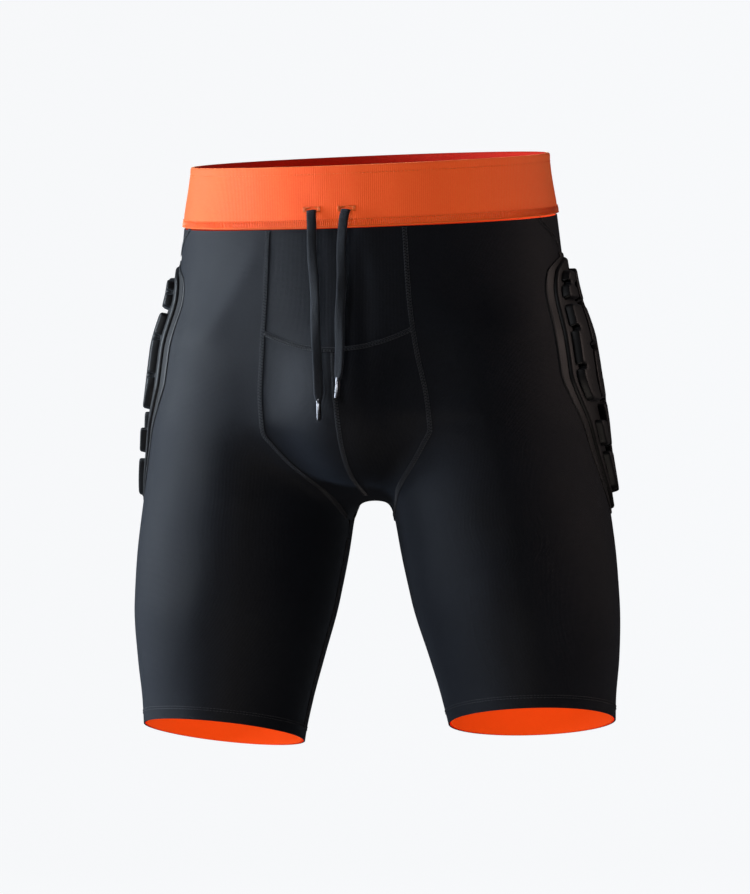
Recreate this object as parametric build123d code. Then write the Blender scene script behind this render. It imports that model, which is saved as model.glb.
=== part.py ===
from build123d import *
import os

import numpy as np

# Padded impact shorts, men's medium, shaped as worn on an upright body.
# Millimetres. +Z is up, the front faces -Y and the wearer's left is +X.
# The origin is the centre of the waist opening.

# ---------------------------------------------------------------- driving sizes
WAIST_TILT = 8.0             # degrees that the waist opening rises toward the back
BAND_HEIGHT = 48.0           # knitted waistband, top edge to bottom edge at the sides
BAND_BOTTOM = -BAND_HEIGHT
HEM_LEVEL = {-1: -451.0, 1: -443.0}   # lower edge of the right and left leg, worn slightly askew
HEM_TILT = 10.0              # degrees that each hem drops toward the back
HEM_SPLAY = 4.0              # degrees that each hem rises toward the outside
CROTCH = -267.0              # underside of the body between the legs
INSEAM_TOP = -291.0          # where the gusset ends on the inside of each leg
HEM_DEPTH = 22.0             # turned-up hem inside each leg

FABRIC = 1.2                 # outer knit
LINING = 0.8                 # brushed inner knit
LAYER_GAP = 0.25             # air between stacked layers
LINING_GAP = 0.5             # air between a leg panel and its lining
STITCH_LIFT = 0.5            # seam stitching above the fabric
SEAM_GAP = 1.4               # gap between the edges of joined panels
STITCH_WIDTH = 4.5           # flatlock seam, edge to edge
STITCH_THICKNESS = 0.6

BAND_SHELL = 1.2
BAND_ELASTIC = 1.5
BAND_LINING = 0.9
LABEL = 0.6                  # care label

PAD_FILM = 0.8               # stitched sheet that holds the pad to the leg
PAD_PLATE = 2.4              # moulded base plate under the blocks
PAD_BLOCK = 6.0              # height of the foam blocks above the plate
FILM_MARGIN = 10.0           # film past the plate's edge
BLOCK_MARGIN = 8.0           # plate's edge to the nearest block

CORD_WIDTH = 7.0             # flat drawcord
CORD_THICKNESS = 2.6
CORD_X = (-17.0, 10.5)        # the two buttonholes: wearer's right, wearer's left
CORD_EXIT_UP = 13.5          # buttonhole above the band's lower edge
RUN_THICKNESS = 1.8          # drawcord inside the band, pressed flat
EYELET_WIDTH = 17.0          # stitched buttonhole, slit included
EYELET_HEIGHT = 9.4
EYELET_DEPTH = 1.2
AGLET_LENGTH = 15.0
AGLET_DIAMETER = 4.4

# Body form, from the waist down. Each row: height, half width, half depth, centre y.
PELVIS = [
    (40, 142, 103, 0), (0, 142.5, 104, 0), (-47, 149, 107, 0),
    (-75, 152, 110, 1), (-110, 156, 114, 3), (-160, 160, 118, 6),
    (-200, 161, 116, 8), (-240, 154, 104, 8), (-310, 120, 70, 8),
]
# Leg form. Each row: height, centre x, half width, half depth, centre y.
LEG = [
    (-100, 78, 75, 85, 0), (-150, 86, 78, 95, 4), (-205, 94, 80, 100, 6),
    (-259, 101, 83, 98, 6), (-299, 106.4, 83.5, 94, 6), (-346, 113, 81, 88, 6),
    (-393, 119.4, 73.5, 79, 8), (-425, 122.5, 67.5, 72, 9), (-454, 125.5, 64, 67, 10),
    (-490, 128, 62, 64, 10),
]
POUCH_CENTRE = (2.0, -62.0, -188.0)
POUCH_SIZE = (52.0, 62.0, 66.0)
BLEND = 9.0                  # softness of the join between pelvis, legs and pouch

# Centre strip (yoke, pouch, gusset, seat), measured in stations: 0 to 1 runs down the
# front, 1 to 2 turns under the body, 2 to 3 runs up the back.
FAN_Y, FAN_Z = 5.0, -200.0
STRIP = [                    # station, half width, drift of its middle to the wearer's left
    (0.0, 54, 0), (0.4, 57, 1), (0.7, 61, 3), (0.95, 65.5, 5), (1.05, 66, 6),
    (1.09, 59, 6), (1.14, 49, 6), (1.19, 39, 6), (1.25, 31, 5), (1.5, 20, 0),
    (1.75, 25, 0), (1.92, 42, 0), (2.05, 53, 0), (2.5, 58, 0), (3.0, 60, 0),
]
YOKE_DROP = -151.0           # lowest point of the curved yoke seam
YOKE_MIDDLE = 2.0            # its lowest point, to the wearer's left
YOKE_HALF = 56.0             # half width of its stitching
YOKE_RISE = 18.0             # how far its ends climb
GUSSET_FRONT, GUSSET_BACK = 1.36, 1.70
DIP = 3.0                    # how steeply the cloth's rows climb to the end of the gusset
SEAT_SHARE, THIGH_SHARE = 0.34, 0.62     # shares of a leg's rows down to the fan and inseam

# Hip pad base plate. Each row: height, middle y, half width measured front to back.
PAD = [
    (-81, 15, 8), (-87, 15, 23), (-94, 15, 34), (-119, 14, 43), (-149, 13.5, 47),
    (-174, 13.5, 47), (-196, 18, 42), (-213, 23, 36), (-237, 27, 29),
    (-261, 31, 19), (-277, 34, 8),
]
PAD_SHIFT = {-1: -20.0, 1: 0.0}    # the right pad sits further forward
# Foam blocks: name, shares of the plate's width, and the levels of each block.
BLOCKS = {
    "front": (-1.00, -0.40, [(-93, -117), (-121, -195), (-209, -229), (-233, -263)]),
    "middle": (-0.31, 0.31, [(-90, -117), (-121, -150), (-154, -192), (-196, -229), (-233, -265)]),
    "rear": (0.38, 1.00, [(-93, -127), (-131, -169), (-173, -212), (-216, -253)]),
}


# ---------------------------------------------------------------- the body form
def smooth(at, stations, values):
    """A smooth curve through the stations that never overshoots a value."""
    x, y = np.asarray(stations, float), np.asarray(values, float)
    step = np.diff(x)
    slope = np.diff(y) / step
    tangent = np.concatenate([slope[:1], np.zeros(len(x) - 2), slope[-1:]])
    for i in range(1, len(x) - 1):
        if slope[i - 1] * slope[i] > 0:
            before, after = step[i - 1], step[i]
            weights = (before + 2 * after) / slope[i - 1] + (2 * before + after) / slope[i]
            tangent[i] = 3 * (before + after) / weights
    at = np.clip(np.asarray(at, float), x[0], x[-1])
    i = np.clip(np.searchsorted(x, at) - 1, 0, len(x) - 2)
    t = (at - x[i]) / step[i]
    rise = t * t * (3 - 2 * t)
    bend_in = t * (1 - t) ** 2 * step[i] * tangent[i]
    bend_out = t * t * (t - 1) * step[i] * tangent[i + 1]
    return y[i] * (1 - rise) + y[i + 1] * rise + bend_in + bend_out


def column(table, z, index):
    """One column of a body table at height z."""
    return smooth(-z, [-row[0] for row in table], [row[index] for row in table])


def form(point):
    """Roughly the distance outside the body: negative inside, zero on the fabric."""
    x, y, z = point[..., 0], point[..., 1], point[..., 2]
    width, depth, middle = (column(PELVIS, z, i) for i in (1, 2, 3))
    floor = np.clip((CROTCH + 60 - z) / 60, 0, None)
    parts = [(np.sqrt((x / width) ** 2 + ((y - middle) / depth) ** 2 + floor**2) - 1) * depth]
    centre, width, depth, middle = (column(LEG, z, i) for i in (1, 2, 3, 4))
    top = np.clip((z + 150) / 60, 0, None)
    for side in (-1, 1):
        reach = ((side * x - centre) / width) ** 2 + ((y - middle) / depth) ** 2 + top**2
        parts.append((np.sqrt(reach) - 1) * width)
    offset = (point - np.array(POUCH_CENTRE)) / np.array(POUCH_SIZE)
    parts.append((np.sqrt((offset**2).sum(-1)) - 1) * POUCH_SIZE[0])
    parts = np.stack(parts)
    nearest = parts.min(0)
    return nearest - BLEND * np.log(np.exp(-(parts - nearest) / BLEND).sum(0))


def cast(origin, direction):
    """The first point where each ray from inside the body leaves it."""
    origin, direction = np.broadcast_arrays(np.asarray(origin, float), np.asarray(direction, float))
    direction = direction / np.linalg.norm(direction, axis=-1, keepdims=True)
    near = np.zeros(origin.shape[:-1])
    open_rays = np.ones(origin.shape[:-1], bool)
    for _ in range(70):
        ahead = form(origin + direction * (near + 4)[..., None]) < 0
        open_rays &= ahead
        near = np.where(open_rays, near + 4, near)
    far = near + 4
    for _ in range(24):
        middle = (near + far) / 2
        inside = form(origin + direction * middle[..., None]) < 0
        near, far = np.where(inside, middle, near), np.where(inside, far, middle)
    return origin + direction * near[..., None]


def lifted(points, distance):
    """The same points moved outward along the fabric's normal."""
    slopes = [form(points + axis) - form(points - axis) for axis in np.eye(3)]
    normal = np.stack(slopes, -1)
    normal /= np.linalg.norm(normal, axis=-1, keepdims=True)
    return points + normal * distance


# ---------------------------------------------------------------- cloth pieces
def skin(points):
    """Smooth face through a grid of points, threaded down its columns."""
    columns = points.transpose(1, 0, 2)
    threads = [Wire([Edge.make_spline([Vector(*p) for p in column])]) for column in columns]
    return Shell.make_loft(threads).faces()[0]


def cloth(points, lift, thickness):
    """A closed sheet over a grid of fabric points, its inner face lifted by lift."""
    inner, outer = skin(lifted(points, lift)), skin(lifted(points, lift + thickness))
    faces = [inner, outer]
    for edge in inner.edges():
        middle = edge.position_at(0.5)
        partner = min(outer.edges(), key=lambda other: (other.position_at(0.5) - middle).length)
        faces.append(Face.make_surface_from_curves(edge, partner))
    return Solid(Shell(faces))


def waist_slope(level):
    """Front-to-back slope of the cloth rows, from the waist tilt to level at the fan."""
    share = smooth(-level, [-BAND_BOTTOM, -FAN_Z], [1, 0])
    return np.tan(np.radians(WAIST_TILT)) * share


def strip_point(x, station):
    """Point of the centre strip at a distance x from the middle plane."""
    x, station = np.broadcast_arrays(np.asarray(x, float), np.asarray(station, float))
    back = station > 1.5
    share = np.clip(np.where(back, 3 - station, station), 0, 1)
    level = BAND_BOTTOM + (FAN_Z - BAND_BOTTOM) * share
    slope = waist_slope(level)
    turn = np.radians(180 * np.clip(station - 1, 0, 1))
    forward = np.where(back, 1.0, -1.0)
    fan = (station > 1) & (station < 2)
    run = np.where(fan, -np.cos(turn), forward)
    fall = np.where(fan, -np.sin(turn), forward * slope)
    origin = np.stack([x, np.full_like(x, FAN_Y), level + slope * FAN_Y], -1)
    return cast(origin, np.stack([np.zeros_like(x), run, fall], -1))


def strip_edge(station, side, margin=0.0):
    """Distance from the middle plane of one edge of the strip."""
    stations = [row[0] for row in STRIP]
    half = smooth(station, stations, [row[1] for row in STRIP])
    drift = smooth(station, stations, [row[2] for row in STRIP])
    return drift + side * (half + margin)


def strip_grid(first, last, left=-1.0, right=1.0, rows=18, columns=9):
    """Grid over the strip between two stations and two shares of its width."""
    share = np.linspace(left, right, columns)[None, :]
    along = np.linspace(0, 1, rows)[:, None]
    station = first + (last - first) * along + 0 * share
    wide, narrow = strip_edge(station, 1, -SEAM_GAP / 2), strip_edge(station, -1, -SEAM_GAP / 2)
    return strip_point(narrow + (wide - narrow) * (share + 1) / 2, station)


def level_station(level):
    """Front station of a given height."""
    return (level - BAND_BOTTOM) / (FAN_Z - BAND_BOTTOM)


def thigh_dip(angle, end):
    """Dip of a row on the inner thigh, so that it rises to the end of the gusset."""
    share = np.abs(angle / end)
    return DIP * share**2 * (1 - share)


def leg_row(station, columns, side):
    """One row of a leg panel, from the front seam round the outside to the back seam."""
    if station <= 1:
        level = BAND_BOTTOM + (FAN_Z - BAND_BOTTOM) * station
    else:
        level = FAN_Z + (INSEAM_TOP - FAN_Z) * (station - 1) * 2
    share = (level - BAND_BOTTOM) / (INSEAM_TOP - BAND_BOTTOM)
    centre_x = 40 + (column(LEG, INSEAM_TOP, 1) - 40) * share
    centre = np.array([centre_x * side, FAN_Y, level])
    ends = [strip_point(strip_edge(s, side, SEAM_GAP / 2), s) for s in (station, 3 - station)]
    offsets = [end - centre for end in ends]
    angles = [np.arctan2(d[1], d[0] * side) for d in offsets]
    if station > 1.3:
        angles = [-abs(angles[0]), abs(angles[1])]
    slope = waist_slope(level)
    misfit = [d[2] / np.hypot(d[0], d[1]) - slope * np.sin(a) for d, a in zip(offsets, angles)]
    angle = np.linspace(angles[0], angles[1], columns)
    rise = slope * np.sin(angle)
    rise = rise + misfit[0] * np.clip(angle / angles[0], 0, 1) ** 2
    rise = rise + misfit[1] * np.clip(angle / angles[1], 0, 1) ** 2
    end = np.where(angle < 0, angles[0], angles[1])
    rise = rise - thigh_dip(angle, end) * smooth(station, [0.8, 1.5], [0, 1])
    return cast(centre, np.stack([side * np.cos(angle), np.sin(angle), rise], -1))


def hem_row(share, columns, side):
    """One row of a leg below the crotch, closed at the inside of the leg."""
    level = INSEAM_TOP + (HEM_LEVEL[side] - INSEAM_TOP) * share
    centre = np.array([column(LEG, level, 1) * side, column(LEG, level, 4), level])
    opening = np.pi - 0.003
    angle = np.linspace(-opening, opening, columns)
    turn = smooth(share, [0, 1], [0, 1])
    rise = -np.tan(np.radians(HEM_TILT)) * np.sin(angle) * turn
    rise = rise + np.tan(np.radians(HEM_SPLAY)) * np.cos(angle) * turn
    rise = rise - thigh_dip(angle, opening) * smooth(share, [0, 0.8], [1, 0])
    return cast(centre, np.stack([side * np.cos(angle), np.sin(angle), rise], -1))


def leg_grid(side, rows=38, columns=19):
    """Grid over a leg panel, from the waistband down to the hem."""
    grid = []
    for share in np.linspace(0, 1, rows):
        if share < THIGH_SHARE:
            station = smooth(share, [0, SEAT_SHARE, THIGH_SHARE], [0, 1, 1.5])
            grid.append(leg_row(float(station), columns, side))
        else:
            grid.append(hem_row((share - THIGH_SHARE) / (1 - THIGH_SHARE), columns, side))
    return np.array(grid)


def band_ring(top, bottom, rows=3, columns=41):
    """Grid round the waistband between two heights, open at the centre back."""
    level = np.linspace(top, bottom, rows)[:, None]
    angle = np.linspace(-1, 1, columns)[None, :] * (np.pi - 0.002) - np.pi / 2
    slope = np.tan(np.radians(WAIST_TILT))
    direction = np.stack([np.cos(angle) + 0 * level, np.sin(angle) + 0 * level,
                          slope * np.sin(angle) + 0 * level], -1)
    origin = np.stack([0 * direction[..., 0], 0 * direction[..., 0], level + 0 * angle], -1)
    return cast(origin, direction)


# ---------------------------------------------------------------- waistband
def waistband():
    """Shell, elastic and lining as three nested rings, with their stitching."""
    ring = band_ring(0, BAND_BOTTOM + 0.4)
    inner = band_ring(-2.0, BAND_BOTTOM + 2.4)
    elastic_face = -LAYER_GAP - BAND_ELASTIC
    export("waistband_shell", cloth(ring, 0, BAND_SHELL))
    export("waistband_elastic", cloth(inner, elastic_face, BAND_ELASTIC))
    export("waistband_lining", cloth(ring, elastic_face - LAYER_GAP - BAND_LINING, BAND_LINING))
    proud = BAND_SHELL + 2 * LAYER_GAP
    lower = band_ring(BAND_BOTTOM + 6.0, BAND_BOTTOM + 0.9)
    export("waistband_lower_stitching", cloth(lower, proud, STITCH_THICKNESS))
    upper = band_ring(-6.0, -7.2)
    export("waistband_upper_stitching", cloth(upper, proud, STITCH_THICKNESS))


def cord_level(x):
    """Height of a buttonhole, on the tilted band at its front."""
    front = cast([x, 0, BAND_BOTTOM + CORD_EXIT_UP], [0, -1, -np.tan(np.radians(WAIST_TILT))])
    return float(front[1]), float(front[2])


def drawcord_tunnel():
    """The drawcord inside the band, from one buttonhole round the back to the other."""
    columns = 41
    reach = PELVIS[2][2]
    start = np.arctan2(-reach, CORD_X[1] + CORD_WIDTH)
    end = np.arctan2(-reach, CORD_X[0] - CORD_WIDTH)
    angle = np.linspace(start, end + 2 * np.pi, columns)[None, :]
    level = BAND_BOTTOM + CORD_EXIT_UP + np.array([[-1], [0], [1]]) * CORD_WIDTH / 2
    slope = np.tan(np.radians(WAIST_TILT))
    direction = np.stack([np.cos(angle) + 0 * level, np.sin(angle) + 0 * level,
                          slope * np.sin(angle) + 0 * level], -1)
    origin = np.stack([0 * direction[..., 0], 0 * direction[..., 0], level + 0 * angle], -1)
    depth = -BAND_ELASTIC - BAND_LINING - 3 * LAYER_GAP - CORD_THICKNESS / 2
    return cloth(cast(origin, direction), depth - RUN_THICKNESS / 2, RUN_THICKNESS)


def buttonhole(x):
    """Stitched rectangular eyelet on the band's outer face."""
    y, z = cord_level(x)
    outer = Box(EYELET_WIDTH, EYELET_DEPTH, EYELET_HEIGHT)
    slot = Box(EYELET_WIDTH - 6, 2 * EYELET_DEPTH, EYELET_HEIGHT - 4)
    return Pos(x, y - BAND_SHELL - EYELET_DEPTH, z) * Rot(X=-4) * (outer - slot)


# ---------------------------------------------------------------- drawcord tails
def tail_route(x, points):
    """Route of one tail from its buttonhole down to its aglet, as vectors."""
    y, z = cord_level(x)
    return [Vector(x + dx, y + dy, z + dz) for dx, dy, dz in points]


RIGHT_TAIL = [(0, -2.7, 0), (0.6, -5.8, -3.4), (1.4, -6.9, -12), (1.6, -8.8, -32),
              (5.2, -12.4, -60), (6.4, -17.2, -92), (9.6, -21.6, -124), (10.2, -22.8, -146)]
LEFT_TAIL = [(0, -2.7, 0), (-0.6, -5.8, -3.4), (-1.6, -6.9, -12), (-2.6, -8.6, -30),
             (-1.0, -12.2, -56), (-2.4, -16.4, -84), (-0.8, -20.4, -110), (-1.9, -22.8, -130)]


def flat_section(start, direction):
    """Rounded flat cross-section of the cord, its width along X."""
    plane = Plane(origin=start, x_dir=(1, 0, 0), z_dir=direction)
    return plane * RectangleRounded(CORD_WIDTH, CORD_THICKNESS, CORD_THICKNESS * 0.45)


def tail(x, points, name):
    """One free tail of the drawcord: straight runs joined by tangent arcs."""
    route = tail_route(x, points)
    radii = []
    for before, corner, after in zip(route, route[1:], route[2:]):
        turn = np.radians((corner - before).get_angle(after - corner))
        shorter = min((corner - before).length, (after - corner).length)
        radii.append(0.45 * shorter / np.tan(turn / 2))
    path = FilletPolyline(*route, radius=radii)
    print(name, "radii", [round(r, 1) for r in radii], "length", round(path.length, 1))
    solid = sweep(flat_section(route[0], route[1] - route[0]), path=path)
    section = flat_section(route[0], route[1] - route[0]).area
    print(name, "volume over section times length", round(solid.volume / section / path.length, 4))
    return solid


def aglet(x, points):
    """Metal tip crimped round the end of a tail, along its last run."""
    route = tail_route(x, points)
    end, before = route[-1], route[-2]
    direction = (end - before).normalized()
    body = Cylinder(AGLET_DIAMETER / 2, AGLET_LENGTH, align=(Align.CENTER, Align.CENTER, Align.MIN))
    body = fillet(body.edges().sort_by(Axis.Z)[-1], AGLET_DIAMETER * 0.3)
    return Plane(origin=end + direction * 0.05, z_dir=direction) * body


# ---------------------------------------------------------------- body panels
def yoke_station(x):
    """Front station of the curved yoke seam at a distance x from the middle."""
    level = YOKE_DROP + YOKE_RISE * (np.abs(x - YOKE_MIDDLE) / 62) ** 2
    return level_station(level)


def front_grid(upper, lower, left, right, upper_curved=1, lower_curved=1, rows=12, columns=9):
    """Grid of the strip between two edges; a curved edge is measured from the yoke seam."""
    share = np.linspace(left, right, columns)
    grid = []
    for along in np.linspace(0, 1, rows):
        station = np.full(columns, 0.5)
        for _ in range(4):
            narrow = strip_edge(station, -1, -SEAM_GAP / 2)
            wide = strip_edge(station, 1, -SEAM_GAP / 2)
            x = narrow + (wide - narrow) * (share + 1) / 2
            top = upper + upper_curved * yoke_station(x)
            bottom = lower + lower_curved * yoke_station(x)
            station = top + (bottom - top) * along
        grid.append(strip_point(x, station))
    return np.array(grid)


def front_panels():
    """Yoke below the band, and the two halves of the pouch."""
    half_gap = SEAM_GAP / 2 / (FAN_Z - BAND_BOTTOM)
    yoke = front_grid(0.0, half_gap, -1, 1, upper_curved=0)
    export("front_yoke_panel", cloth(yoke, -FABRIC, FABRIC))
    for name, left, right in (("right", -1, -0.006), ("left", 0.006, 1)):
        grid = front_grid(-half_gap, GUSSET_FRONT - 0.003, left, right, lower_curved=0, rows=34, columns=7)
        export(f"{name}_pouch_panel", cloth(grid, -FABRIC, FABRIC))


def ribbon(line, width=STITCH_WIDTH, lift=STITCH_LIFT):
    """Flatlock stitching laid along a line of fabric points."""
    along = np.gradient(line, axis=0)
    normal = lifted(line, 1.0) - line
    across = np.cross(normal, along)
    across *= width / 2 / np.linalg.norm(across, axis=-1, keepdims=True)
    grid = np.stack([line - across, line, line + across], 0)
    return cloth(grid.transpose(1, 0, 2), lift, STITCH_THICKNESS)


def strip_seam(side, first, last, points=60):
    """Stitching along one edge of the centre strip, or down its middle."""
    station = np.linspace(first, last, points)
    return ribbon(strip_point(strip_edge(station, side), station))


def yoke_seam(points=25):
    """Stitching across the front, from one front seam to the other."""
    x = np.linspace(-YOKE_HALF, YOKE_HALF, points) + YOKE_MIDDLE
    return ribbon(strip_point(x, yoke_station(x)))


def inseam_seam(side, points=36):
    """Stitching down the inside of one leg."""
    level = np.linspace(INSEAM_TOP - 10, HEM_LEVEL[side] + 10, points)
    middle, depth = column(LEG, level, 1) * side, column(LEG, level, 4)
    line = cast(np.stack([middle, depth, level], -1), [-side, 0, 0])
    return ribbon(line, lift=STITCH_LIFT + 0.3)


def hem_line(side, upper, lower, lift, thickness, columns=41):
    """Ring that follows the hem between two distances above the hem's edge."""
    reach = HEM_LEVEL[side] - INSEAM_TOP
    shares = [1 + distance / reach for distance in (upper, (upper + lower) / 2, lower)]
    grid = np.array([hem_row(share, columns, side) for share in shares])
    return cloth(grid, lift, thickness)


# ---------------------------------------------------------------- hip pads
def pad_point(share, z, margin, side):
    """Point of the hip at a share of the plate's half width, less a margin."""
    share, z = np.broadcast_arrays(np.asarray(share, float), np.asarray(z, float))
    y = column(PAD, z, 1) + PAD_SHIFT[side] + (column(PAD, z, 2) - margin) * share
    origin = np.stack([np.full_like(y, 40.0 * side), y, z], -1)
    return cast(origin, [side, 0, 0])


def pad_patch(left, right, top, bottom, margin, side, rows, columns):
    """Grid over part of the pad, between two shares of its width and two levels."""
    z = np.linspace(top, bottom, rows)[:, None]
    return pad_point(np.linspace(left, right, columns)[None, :], z, margin, side)


def pad_blocks(left, right, levels, side):
    """One column of foam blocks standing on the base plate."""
    lift = 3 * LAYER_GAP + PAD_FILM + PAD_PLATE
    return [
        cloth(pad_patch(left, right, top, bottom, BLOCK_MARGIN, side, 6, 4), lift, PAD_BLOCK)
        for top, bottom in levels
    ]


def pad_edge(side, points=22):
    """Stitching along the front and back edges of the film, as two ribbons."""
    z = np.linspace(PAD[0][0] - 6, PAD[-1][0] + 6, points)
    inset = 2.0 - FILM_MARGIN
    edges = [pad_point(share, z, inset, side) for share in (-1.0, 1.0)]
    return [ribbon(lifted(edge, PAD_FILM + LAYER_GAP), width=1.6) for edge in edges]


def hip_pad(side, name):
    """Film, base plate, foam blocks and edge stitching of one hip."""
    top, bottom = PAD[0][0], PAD[-1][0]
    film = pad_patch(-1, 1, top + 4, bottom - 4, -FILM_MARGIN, side, 18, 9)
    plate = pad_patch(-1, 1, top, bottom, 0, side, 18, 9)
    export(f"{name}_pad_film", cloth(film, LAYER_GAP, PAD_FILM))
    export(f"{name}_pad_base_plate", cloth(plate, 2 * LAYER_GAP + PAD_FILM, PAD_PLATE))
    export(f"{name}_pad_edge_stitching", pad_edge(side))
    for place, (left, right, levels) in BLOCKS.items():
        export(f"{name}_pad_blocks_{place}", pad_blocks(left, right, levels, side))


# ---------------------------------------------------------------- legs
def leg(side, name):
    """Outer panel, lining, turned-up hem and stitching of one leg."""
    lining_face = -FABRIC - LINING_GAP - LINING
    grid = leg_grid(side)
    export(f"{name}_leg_panel", cloth(grid, -FABRIC, FABRIC))
    export(f"{name}_leg_lining", cloth(grid[1:-1], lining_face, LINING))
    hem_face = lining_face - LAYER_GAP - LINING
    export(f"{name}_hem_facing", hem_line(side, HEM_DEPTH, 2.0, hem_face, LINING))
    export(f"{name}_hem_stitching", hem_line(side, 11.0, 9.0, LAYER_GAP, STITCH_THICKNESS * 0.7))
    export(f"{name}_inseam_stitching", inseam_seam(side))
    export(f"{name}_front_seam_stitching", strip_seam(side, 0.02, 1.44))
    export(f"{name}_seat_seam_stitching", strip_seam(side, 1.56, 2.98))


def care_label():
    """Blank woven label sewn inside the back of the band."""
    x = np.linspace(-17, 17, 5)[None, :]
    z = np.linspace(-14, -40, 4)[:, None]
    slope = np.tan(np.radians(WAIST_TILT))
    origin = np.stack([x + 0 * z, 0 * x + 0 * z, z + 0 * x], -1)
    grid = cast(origin, [0, 1, slope])
    depth = BAND_ELASTIC + BAND_LINING + CORD_THICKNESS + 7 * LAYER_GAP + LABEL
    return cloth(grid, -depth, LABEL)


# ---------------------------------------------------------------- assembly
def export(name, shape):
    """One STEP per sub-part; a list becomes one node of separate solids."""
    if isinstance(shape, (list, tuple)):
        shape = Compound(children=list(shape))
    export_step(shape, f"parts/{name}.step")


def main():
    os.makedirs("parts", exist_ok=True)
    waistband()
    export("drawcord_tunnel_run", drawcord_tunnel())
    for name, x, points in (("right", CORD_X[0], RIGHT_TAIL), ("left", CORD_X[1], LEFT_TAIL)):
        export(f"{name}_buttonhole", buttonhole(x))
        export(f"{name}_drawcord_tail", tail(x, points, name))
        export(f"{name}_aglet", aglet(x, points))
    front_panels()
    export("yoke_seam_stitching", yoke_seam())
    export("pouch_seam_stitching", strip_seam(0, level_station(YOKE_DROP - 3), 1.34))
    gusset = strip_grid(GUSSET_FRONT, GUSSET_BACK, rows=22)
    export("gusset_panel", cloth(gusset, -FABRIC, FABRIC))
    seat = strip_grid(GUSSET_BACK + 0.004, 3.0, rows=34)
    export("seat_panel", cloth(seat, -FABRIC, FABRIC))
    for side, name in ((-1, "right"), (1, "left")):
        leg(side, name)
        hip_pad(side, name)
    export("care_label", care_label())


main()
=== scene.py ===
import bpy
import math
import numpy as np
from mathutils import Matrix, Vector


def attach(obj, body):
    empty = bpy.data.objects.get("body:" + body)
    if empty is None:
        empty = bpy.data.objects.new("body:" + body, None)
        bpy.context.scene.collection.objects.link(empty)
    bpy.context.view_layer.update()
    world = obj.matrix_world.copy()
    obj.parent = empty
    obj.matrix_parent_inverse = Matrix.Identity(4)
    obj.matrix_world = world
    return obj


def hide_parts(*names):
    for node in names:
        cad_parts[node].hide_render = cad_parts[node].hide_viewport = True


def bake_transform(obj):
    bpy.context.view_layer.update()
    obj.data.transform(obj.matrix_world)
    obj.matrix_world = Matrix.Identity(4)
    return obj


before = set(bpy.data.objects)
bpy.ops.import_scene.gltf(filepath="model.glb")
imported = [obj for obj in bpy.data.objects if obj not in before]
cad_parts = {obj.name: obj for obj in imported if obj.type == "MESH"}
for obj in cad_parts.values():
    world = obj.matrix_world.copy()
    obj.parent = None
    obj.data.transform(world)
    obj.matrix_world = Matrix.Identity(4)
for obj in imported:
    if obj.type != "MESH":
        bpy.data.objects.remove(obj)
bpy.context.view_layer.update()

# Padded impact shorts. The body form is worked in millimetres, in the frame of the CAD
# nodes, and every mesh is made in metres.
MM = 0.001

# ---------------------------------------------------------------- sizes
WAIST_FALL = math.tan(math.radians(8.0))     # the waistband's tilt, back above front
BAND_HEIGHT = 48.0
BAND_BOTTOM = -BAND_HEIGHT
HEM_LEVEL = {-1: -451.0, 1: -443.0}
HEM_TILT = 10.0
HEM_SPLAY = 4.0
CROTCH = -267.0
INSEAM_TOP = -291.0
FABRIC = 1.2
SEAM_WIDTH = 4.4
LINING = 0.8
FACING_TOP = 22.0            # hem facing and hem stitches, above the hem's edge
HEM_STITCHES = 9.4
CORD_WIDTH = 7.0
CORD_THICKNESS = 2.4
HIP_AXIS = 40.0              # rays to the hips start this far from the middle plane
BAND_COLUMNS = 721

# Body form, from the waist down. Each row: height, half width, half depth, centre y.
PELVIS = [
    (40, 142, 103, 0), (0, 142.5, 104, 0), (-47, 149, 107, 0),
    (-75, 152, 110, 1), (-110, 156, 114, 3), (-160, 160, 118, 6),
    (-200, 161, 116, 8), (-240, 154, 104, 8), (-310, 120, 70, 8),
]
# Leg form. Each row: height, centre x, half width, half depth, centre y.
LEG = [
    (-100, 78, 75, 85, 0), (-150, 86, 78, 95, 4), (-205, 94, 80, 100, 6),
    (-259, 101, 83, 98, 6), (-299, 106.4, 83.5, 94, 6), (-346, 113, 81, 88, 6),
    (-393, 119.4, 73.5, 79, 8), (-425, 122.5, 67.5, 72, 9), (-454, 125.5, 64, 67, 10),
    (-490, 128, 62, 64, 10),
]
POUCH_CENTRE = (2.0, -62.0, -188.0)
POUCH_SIZE = (52.0, 62.0, 66.0)
BLEND = 9.0                  # how softly pelvis, legs and pouch run into each other
LEG_TOP, CAP = -150.0, 60.0   # where a leg's own form closes, and how long its cap is
FAN_Y, FAN_Z = 5.0, -200.0
# Centre strip: station, half width, drift of its middle to the wearer's left.
STRIP = [
    (0.0, 54, 0), (0.4, 57, 1), (0.7, 61, 3), (0.95, 65.5, 5), (1.05, 66, 6),
    (1.09, 59, 6), (1.14, 49, 6), (1.19, 39, 6), (1.25, 31, 5), (1.5, 20, 0),
    (1.75, 25, 0), (1.92, 42, 0), (2.05, 53, 0), (2.5, 58, 0), (3.0, 60, 0),
]
YOKE_DROP, YOKE_RISE = -151.0, 18.0
YOKE_MIDDLE, YOKE_HALF = 2.0, 62.0
GUSSET_FRONT, GUSSET_BACK = 1.36, 1.70
DIP = 3.0
SEAT_SHARE, THIGH_SHARE = 0.34, 0.62


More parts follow.
